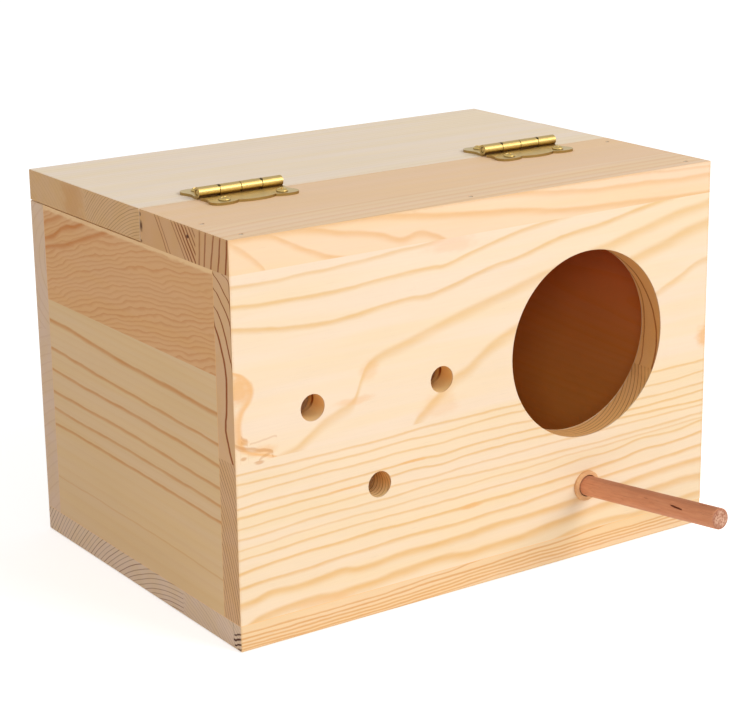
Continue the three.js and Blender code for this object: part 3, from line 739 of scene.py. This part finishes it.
def pine(name, stave, worn_box):
    """The material of one stave: growth rings through its solid, fibres, pores and worn edges."""
    g = material_graph("pine_" + name)
    place, end, side = board_place(g, stave["board"])
    along, across, depth = place
    bored = bore_share(g, place) if stave["board"] == "front" else None
    if bored is not None:
        end = g.most(end, bored)
    length = DEPTH if stave["board"] in ("left", "right") else WIDTH
    distance = ring_distance(g, place, stave)
    soft_rings, crisp_rings = counted_rings(g, distance, *stave["rings"])
    face_rings = face_figure(g, stave, place, side, soft_rings, length)
    end_rings = end_figure(g, stave, place, crisp_rings)
    fine = g.stretched(place, FIBRES, detail=4.0, roughness=0.6)
    broad = g.stretched(place, CLOUDS)
    bands = g.step(g.stretched(place, BANDS, detail=3.0), 0.35, 0.65)
    pores = g.step(g.stretched(place, PORES), 0.66, 0.8)
    strength = g.spread(fine, 0.75, 1.15)
    face_color = g.mix(g.times(face_rings, strength), *stave["face"])
    if "knot_lines" in stave:
        knot = drawn_lines(g, (across, along, depth), stave["knot_lines"], HEIGHT)
        face_color = g.mix(knot, face_color, KNOT)
    face_color = patched(g, face_color, place, stave.get("patches", ()))
    if "streaks" in stave:
        streaks = thin_lines(g, (along, across), stave["streaks"], length, HEIGHT)
        face_color = g.mix(streaks, face_color, BARK)
    end_color = g.mix(end_rings, *stave["end"])
    left_end = g.fall(along, *END_FALL)
    if "end_patches" in stave:
        end_color = patched(g, end_color, (across, depth, along), stave["end_patches"], left_end)
    if "end_splits" in stave:
        splits = thin_lines(g, (across, depth), stave["end_splits"], HEIGHT, END_SPAN)
        end_color = g.mix(g.times(splits, left_end), end_color, CHIP)
    color = g.mix(end, face_color, end_color)
    if bored is not None:
        # Painted light on the bottoms of the bored holes
        color = g.mix(bored, color, g.tint(color, bore_tint_and_painted_light(g, along)))
    # Painted shade and light on the inner faces
    if stave["board"] != "roof":
        color = painted_inside_shade(g, stave["board"], color, place)
    shade = g.add(0.93, g.times(fine, 0.07), g.times(broad, 0.07), g.times(pores, -0.06))
    color = g.tint(color, g.vector(shade, shade, shade))
    color = g.tint(color, g.mix(bands, WARM_BAND, COOL_BAND))
    color = g.mix(g.times(edge_wear(g, *worn_box), WEAR_SHARE), color, EDGE_TINT)
    figure = g.add(face_rings, g.times(end, g.less(end_rings, face_rings)))
    roughness = g.add(0.5, g.times(fine, 0.16), g.times(figure, -0.08), g.times(end, 0.12))
    height = g.add(g.times(fine, 0.5), g.times(figure, 0.35), g.times(pores, -0.4))
    return g.finish(color, roughness, height, 0.06, **WOOD_GLOSS)


def collar_wood():
    """The bored ring round the perch: a short piece of reddish wood, darker at its rims."""
    g = material_graph("collar_wood")
    place = g.place()
    grain = g.stretched(place, (6, 0.5, 0.5), detail=3.0)
    mottle = g.stretched(place, (1.5, 1.5, 1.5), detail=4.0)
    color = g.mix(grain, linear(226, 172, 118), linear(244, 198, 146))
    rims = edge_wear(g, *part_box("perch_collar"))
    color = g.coated(color, (mottle, 0.5, (212, 152, 104)), (rims, 0.4, (196, 134, 88)))
    height = g.add(g.times(grain, 0.6), g.times(mottle, 0.4))
    return g.finish(color, g.spread(mottle, 0.55, 0.7), height, 0.05, **WOOD_GLOSS)


def brass():
    """Yellow brass with lighter rubbed streaks, and painted light: a painted highlight on the barrels'
    shoulders, a painted reflection on their tops, and painted shade under them, on the leaves' upright edges
    and in the gaps between knuckles.
    """
    g = material_graph("hinge_brass")
    place = g.place()
    up = g.facing()[2]
    cloud = g.stretched(place, (7, 3, 3), detail=3.0)
    rub = g.stretched(place, (6, 0.12, 0.12), detail=3.0)
    barrel = g.step(place[2], BARREL_START, BARREL_START + 0.25)
    # Painted reflection on the barrels' tops
    crown_reflection = g.times(g.step(up, 0.66, 0.86), barrel)
    # Painted highlight along the barrels' shoulders
    shoulder_highlight = g.times(g.step(up, -0.1, 0.25), g.fall(up, 0.55, 0.75), barrel)
    # Painted shade on the leaves' upright edges
    leaf_edge_shade = g.times(g.fall(g.math("ABSOLUTE", up), 0.3, 0.8), g.less(1.0, barrel))
    # Painted shade on all brass faces that face down
    underside_shade = g.fall(up, -0.5, 0.05)
    color = g.mix(cloud, linear(160, 135, 76), linear(190, 165, 104))
    color = g.coated(color, (crown_reflection, 0.8, (172, 146, 92)), (shoulder_highlight, 0.9, (212, 180, 104)),
                     (rub, 0.25, (230, 208, 150)), (leaf_edge_shade, 0.7, (160, 130, 76)),
                     (underside_shade, 0.8, (112, 78, 32)))
    # Painted shade in the gaps between knuckles, on the barrels' upper side
    for notch in NOTCHES:
        near = g.fall(g.math("ABSOLUTE", g.less(place[0], notch)), 0.3, 0.55)
        color = g.coated(color, (g.times(near, g.step(up, 0.6, 0.8), barrel), 0.9, (30, 20, 12)))
    roughness = g.add(0.27, g.times(cloud, 0.14), g.times(rub, 0.1), g.times(crown_reflection, 0.12))
    height = g.add(g.times(rub, 0.4), g.times(cloud, 0.6))
    return g.finish(color, roughness, height, 0.03, Metallic=1.0)


def steel():
    g = material_graph("brad_steel")
    place = g.node("TexCoord").outputs["Object"]
    cloud = g.noise(place, 2500.0, 3.0)
    color = g.mix(cloud, linear(168, 148, 126), linear(204, 188, 168))
    return g.finish(color, g.spread(cloud, 0.35, 0.6), cloud, 0.02, Metallic=1.0)


def turned_with_perch(g, parts):
    """A point or direction as seen along the perch: across, outwards along it, and up from it."""
    lean, rise = math.cos(PERCH_SLOPE), math.sin(PERCH_SLOPE)
    outwards = g.add(g.times(parts[1], -lean), g.times(parts[2], rise))
    upwards = g.add(g.times(parts[1], rise), g.times(parts[2], lean))
    return [parts[0], outwards, upwards]


def perch_wood(axis_place):
    """Reddish hardwood: long dark pores, painted shade inside its cracks and on its upper and lower sides,
    and paler on its cut end.
    """
    g = material_graph("perch_wood")
    place = turned_with_perch(g, g.place())
    facing = turned_with_perch(g, g.facing())
    streak = g.stretched(place, (0.6, 12, 0.6), detail=4.0, roughness=0.65)
    broad = g.stretched(place, (3.5, 16, 3.5))
    mottle = g.stretched(place, (1.6, 5, 1.6), detail=3.0)
    pores = g.step(g.stretched(place, (0.22, 4, 0.22)), 0.62, 0.75)
    color = g.mix(streak, linear(197, 121, 83), linear(240, 177, 137))
    # Painted shade on the dowel's upper and lower sides
    rims = g.step(g.math("ABSOLUTE", facing[2]), 0.72, 1.0)
    color = g.coated(color, (broad, 0.4, (190, 114, 78)), (g.step(mottle, 0.5, 0.75), 0.4, (232, 164, 124)),
                     (pores, 0.4, (146, 80, 50)), (rims, 0.4, (150, 96, 70)))
    side = g.less(place[0], axis_place[0])
    above = g.less(place[2], axis_place[2])
    radius = g.math("SQRT", g.add(g.times(side, side), g.times(above, above)))
    cut = g.step(facing[1], 0.6, 0.9)
    specks = g.stretched(place, (0.7, 0.7, 0.7), detail=4.0)
    cut_color = g.mix(g.step(specks, 0.35, 0.65), linear(173, 114, 86), linear(222, 175, 147))
    rim = g.step(radius, PERCH_RADIUS - 1.3, PERCH_RADIUS - 0.3)
    cut_color = g.coated(cut_color, (rim, 0.6, (176, 108, 78)))
    color = g.mix(cut, color, cut_color)
    # Painted shade inside the cracks
    deep = g.times(g.fall(radius, PERCH_RADIUS - 0.4, PERCH_RADIUS - 0.12), g.less(1.0, cut))
    color = g.coated(color, (deep, 0.8, (124, 60, 38)))
    roughness = g.spread(streak, 0.52, 0.7)
    height = g.add(g.times(streak, 0.7), g.times(pores, -0.5))
    return g.finish(color, roughness, height, 0.07, **WOOD_GLOSS)


def give(node, material):
    """Puts one material on all of a node's faces."""
    node.data.materials.clear()
    node.data.materials.append(material)
    for face in node.data.polygons:
        face.material_index = 0


def ease(node, width):
    """Rounds a node's sharp edges a little."""
    eased = node.modifiers.new("eased_edges", "BEVEL")
    eased.width = width * MM
    eased.segments = 2
    eased.limit_method = "ANGLE"
    eased.angle_limit = EASE_ANGLE
    eased.harden_normals = True


def add_object(name, data):
    """Makes an object of this data and puts it in the scene."""
    made = bpy.data.objects.new(name, data)
    bpy.context.scene.collection.objects.link(made)
    return made


def new_piece(name, shape, material, node):
    """Makes a piece from a bmesh in place of a CAD node, on that node's body and with the given material."""
    mesh = bpy.data.meshes.new(name)
    shape.normal_update()
    shape.to_mesh(mesh)
    shape.free()
    mesh.materials.append(material)
    piece = add_object(name, mesh)
    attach(piece, NODE_BODY[node])
    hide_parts(node)
    return piece


def smooth_by_angle(shape, angle):
    """Shades smoothly, but keeps edges sharper than the angle crisp."""
    for face in shape.faces:
        face.smooth = True
    for edge in shape.edges:
        edge.smooth = len(edge.link_faces) == 2 and edge.calc_face_angle(0.0) < angle


def skin(rows):
    """A closed solid from rows of points; the first and last rows are single points."""
    shape = bmesh.new()
    made = [[shape.verts.new(point) for point in row] for row in rows]
    for near, far in zip(made, made[1:]):
        count = max(len(near), len(far))
        for i in range(count):
            j = (i + 1) % count
            if len(near) == 1:
                shape.faces.new((near[0], far[j], far[i]))
            elif len(far) == 1:
                shape.faces.new((near[i], near[j], far[0]))
            else:
                shape.faces.new((near[i], near[j], far[j], far[i]))
    bmesh.ops.recalc_face_normals(shape, faces=shape.faces)
    return shape


def rise_between(value, low, high):
    """0 below low, 1 above high and a smooth rise between."""
    share = min(max((value - low) / (high - low), 0.0), 1.0)
    return share * share * (3 - 2 * share)


def perch_axis():
    """A point on the perch's middle line, its direction outwards, and how far it runs each way from there."""
    outwards = Vector((0, -math.cos(PERCH_SLOPE), math.sin(PERCH_SLOPE)))
    points = [vertex.co / MM for vertex in nodes["perch"].data.vertices]
    low, high = (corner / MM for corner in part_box("perch"))
    middle = (low + high) / 2
    runs = [(point - middle).dot(outwards) for point in points]
    return middle, outwards, min(runs), max(runs)


def crack_depth(run, turn, length):
    """How deep the perch's surface splits at a place along it and an angle round it."""
    depth = 0.0
    for start, end, angle, most, width in PERCH_CRACKS:
        share = (run / length - start) / (end - start)
        if 0 < share < 1:
            drift = math.radians(angle + CRACK_DRIFT * (share - 0.5))
            aside = abs((turn - drift + math.pi) % (2 * math.pi) - math.pi) * PERCH_RADIUS
            taper = math.sin(math.pi * share) ** 0.5
            depth = max(depth, most * taper * (1 - rise_between(aside, 0.3 * width * taper, width * taper)))
    return depth


def make_perch():
    """A slightly uneven dowel with a rough rounded tip and a few short drying cracks."""
    middle, outwards, start, end = perch_axis()
    across = Vector((1, 0, 0))
    upwards = outwards.cross(across)
    end -= PERCH_TRIM
    length = end - start
    rows = [[middle + start * outwards]]
    runs = [length * i / PERCH_STEPS for i in range(PERCH_STEPS)] + [length - 0.35, length - 0.12, length]
    for run in runs:
        row = []
        for i in range(PERCH_SIDES):
            turn = 2 * math.pi * i / PERCH_SIDES
            spot = Vector((math.cos(turn), math.sin(turn), run / 9))
            uneven = 0.5 + 0.5 * noise.noise(spot * 1.3)
            rough = 0.5 + 0.5 * noise.noise(spot * 6 + Vector((9, 4, 1)))
            from_end = min(run, length - run)
            rounding = TIP_ROUNDING * (1 - min(from_end / TIP_REACH, 1.0)) ** 2 * (0.7 + 0.6 * rough)
            radius = PERCH_RADIUS - PERCH_UNEVEN * uneven - PERCH_ROUGH * rough - rounding
            radius -= crack_depth(run, turn, length)
            row.append(middle + (start + run) * outwards
                       + radius * (math.cos(turn) * across + math.sin(turn) * upwards))
        rows.append(row)
    rows.append([middle + (end - 0.03) * outwards])
    shape = skin([[point * MM for point in row] for row in rows])
    smooth_by_angle(shape, math.radians(50))
    turned = (middle.x, 0.0, middle.dot(upwards))
    return new_piece("perch_dowel", shape, perch_wood(turned), "perch")


def recess_depth(x, y):
    """How deep the screwdriver's cross is cut at a place on a screw head."""
    across, along = sorted((abs(x), abs(y)))
    width = CROSS_WIDTH * (1 - 0.35 * along / CROSS_REACH)
    inside = 1 - rise_between(across, width - 0.12, width + 0.04)
    near = 1 - rise_between(along, CROSS_REACH - 0.3, CROSS_REACH)
    return CROSS_DEPTH * inside * near


def make_screw(name, brass_look, turn):
    """A domed screw: a cross cut into its head, and a threaded shank with a point."""
    low, high = (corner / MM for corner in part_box(name))
    x, y = (low.x + high.x) / 2, (low.y + high.y) / 2
    seat = high.z - SCREW_HEAD_HEIGHT
    profile = [(0.0, low.z)]
    threads = int((seat - low.z - SCREW_PLAIN) / SCREW_PITCH)
    for i in range(threads):
        z = low.z + SCREW_POINT + i * SCREW_PITCH
        profile += [(SCREW_CORE, z), (SCREW_RADIUS, z + THREAD_CREST * SCREW_PITCH),
                    (SCREW_CORE, z + THREAD_FOOT * SCREW_PITCH)]
    profile += [(SCREW_RADIUS, profile[-1][1] + 0.4), (SCREW_RADIUS, seat), (SCREW_HEAD_RADIUS - 0.1, seat),
                (SCREW_HEAD_RADIUS, seat + SCREW_RIM)]
    for i in range(1, HEAD_RINGS):
        radius = SCREW_HEAD_RADIUS * math.cos(0.5 * math.pi * i / HEAD_RINGS)
        share = radius / SCREW_HEAD_RADIUS
        dome = (SCREW_HEAD_HEIGHT - SCREW_RIM) * (1 - share ** DOME_FLAT) ** DOME_ROUND
        profile.append((radius, seat + SCREW_RIM + dome))
    rows = [[Vector((x, y, low.z))]]
    for radius, z in profile[1:]:
        row = []
        for i in range(SCREW_SIDES):
            angle = 2 * math.pi * i / SCREW_SIDES
            cut = recess_depth(radius * math.cos(angle), radius * math.sin(angle)) if z > seat + 0.2 else 0.0
            row.append(Vector((x + radius * math.cos(angle + turn), y + radius * math.sin(angle + turn),
                               z - cut)))
        rows.append(row)
    rows.append([Vector((x, y, high.z - CROSS_DEPTH))])
    shape = skin([[point * MM for point in row] for row in rows])
    smooth_by_angle(shape, math.radians(35))
    return new_piece(name + "_domed", shape, brass_look, name)


def make_screws(brass_look):
    names = sorted(name for name in nodes if "screw" in name)
    for count, name in enumerate(names):
        make_screw(name, brass_look, math.radians(SCREW_FIRST_TURN + SCREW_NEXT_TURN * count))


def glued_planes(name, boxes):
    """Where a stave meets a glued neighbour: the axis and place of each such side, and how far to grow it."""
    low, high = boxes[name]
    found = {}
    for other, (other_low, other_high) in boxes.items():
        for axis in range(3):
            rest = [other_axis for other_axis in range(3) if other_axis != axis]
            beside = all(low[i] < other_high[i] and other_low[i] < high[i] for i in rest)
            for mine, theirs in ((high[axis], other_low[axis]), (low[axis], other_high[axis])):
                if beside and other != name and abs(theirs - mine) < GLUE_REACH * MM:
                    found[(axis, mine)] = (theirs - mine) / 2
    return found


def is_beside(point, name, boxes):
    """Whether another stave lies close to this point."""
    for other, (low, high) in boxes.items():
        gaps = [max(low[axis] - point[axis], point[axis] - high[axis]) for axis in range(3)]
        if other != name and max(gaps) < SQUARE_REACH * MM:
            return True
    return False


def make_planed(name, stave, boxes):
    """A stave with its free edges eased, and square edges where it lies against another."""
    shape = bmesh.new()
    shape.from_mesh(nodes[name].data)
    bmesh.ops.remove_doubles(shape, verts=shape.verts, dist=0.001 * MM)
    bmesh.ops.dissolve_limit(shape, angle_limit=FLAT_ANGLE, verts=shape.verts, edges=shape.edges)
    if "side_upper" in name:
        strip_back = boxes["roof_strip_rear_stave"][1].y
        everything = shape.verts[:] + shape.edges[:] + shape.faces[:]
        bmesh.ops.bisect_plane(shape, geom=everything, plane_co=(0, strip_back, 0), plane_no=(0, 1, 0))
    shape.normal_update()
    free = []
    for edge in shape.edges:
        middle = (edge.verts[0].co + edge.verts[1].co) / 2
        if edge.calc_face_angle(0.0) > EASE_ANGLE and not is_beside(middle, name, boxes):
            free.append(edge)
    worn_low, worn_high = (corner.copy() for corner in boxes[name])
    for (axis, place), growth in glued_planes(name, boxes).items():
        for vertex in shape.verts:
            if abs(vertex.co[axis] - place) < 0.001 * MM:
                vertex.co[axis] += growth
        if growth > 0:
            worn_high[axis] += WALL * MM
        else:
            worn_low[axis] -= WALL * MM
    bmesh.ops.bevel(shape, geom=free, offset=BOARD_EASE * MM, segments=2, profile=0.5, affect="EDGES",
                    clamp_overlap=True)
    smooth_by_angle(shape, SMOOTH_ANGLE)
    new_piece(name + "_planed", shape, pine(name, stave, (worn_low, worn_high)), name)


def dress_nodes():
    brass_look = brass()
    steel_look = steel()
    boxes = {name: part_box(name) for name in STAVES}
    for name, stave in STAVES.items():
        make_planed(name, stave, boxes)
    for name, node in nodes.items():
        if "hinge" in name:
            give(node, brass_look)
            if "leaf" in name:
                ease(node, BRASS_EASE)
        elif "brad" in name:
            give(node, steel_look)
    give(nodes["perch_collar"], collar_wood())
    make_perch()
    make_screws(brass_look)


def camera_axes():
    """The camera's right, down and forward directions."""
    across = math.cos(CAMERA_ELEVATION)
    forward = Vector((-math.sin(CAMERA_AZIMUTH) * across, math.cos(CAMERA_AZIMUTH) * across,
                      -math.sin(CAMERA_ELEVATION)))
    level = forward.cross(Vector((0, 0, 1))).normalized()
    drop = forward.cross(level)
    turn, lean = math.cos(CAMERA_ROLL), math.sin(CAMERA_ROLL)
    return turn * level - lean * drop, lean * level + turn * drop, forward


def add_camera():
    right, down, forward = camera_axes()
    ahead = [step * MM for step in CAMERA_TO_ORIGIN]
    place = -(ahead[0] * right + ahead[1] * down + ahead[2] * forward)
    lens = bpy.data.cameras.new("camera")
    lens.lens = CAMERA_LENS
    lens.sensor_width = CAMERA_SENSOR
    lens.clip_end = 50
    camera = add_object("camera", lens)
    turned = Matrix((right, -down, -forward)).transposed().to_4x4()
    camera.matrix_world = Matrix.Translation(place) @ turned
    bpy.context.scene.camera = camera


def add_lamp(name, place, power, size):
    light = bpy.data.lights.new(name, "AREA")
    light.energy = power
    light.shape = "DISK"
    light.size = size
    lamp = add_object(name, light)
    lamp.location = place
    lamp.rotation_euler = (-Vector(place)).to_track_quat("-Z", "Y").to_euler()


def seen_directly(g):
    """1 for what the camera sees directly, in gloss or through glass, and 0 for what only lights."""
    path = g.node("LightPath").outputs
    return g.most(path["Is Camera Ray"], path["Is Glossy Ray"], path["Is Transmission Ray"])


def add_world():
    """Even light from all round, and plain white for the camera, gloss and glass."""
    world = bpy.data.worlds.new("studio")
    bpy.context.scene.world = world
    g = Graph(world)
    level = g.spread(seen_directly(g), SKY_LEVEL, 1.0)
    background = g.node("Background", {"Color": WHITE, "Strength": level})
    output = g.node("OutputWorld")
    g.tree.links.new(background.outputs[0], output.inputs["Surface"])


def add_floor():
    """A white floor that keeps the box's shadow and meets the white background without a line."""
    mesh = bpy.data.meshes.new("floor")
    shape = bmesh.new()
    bmesh.ops.create_circle(shape, cap_ends=True, segments=96, radius=FLOOR_RADIUS)
    shape.to_mesh(mesh)
    shape.free()
    floor = add_object("floor", mesh)
    floor.location.z = -FLOOR_DROP
    g = material_graph("floor_white")
    matt = g.node("BsdfDiffuse", {"Color": FLOOR_WHITE})
    glow = g.node("Emission", {"Color": WHITE, "Strength": g.times(seen_directly(g), FLOOR_GLOW)})
    both = g.node("AddShader", {0: matt.outputs[0], 1: glow.outputs[0]})
    output = g.node("OutputMaterial")
    g.tree.links.new(both.outputs[0], output.inputs["Surface"])
    mesh.materials.append(g.owner)


dress_nodes()
add_camera()
add_world()
add_floor()
add_lamp("key", KEY_PLACE, KEY_POWER, KEY_SIZE)
add_lamp("fill", FILL_PLACE, FILL_POWER, FILL_SIZE)

bpy.context.scene.view_settings.view_transform = "Standard"
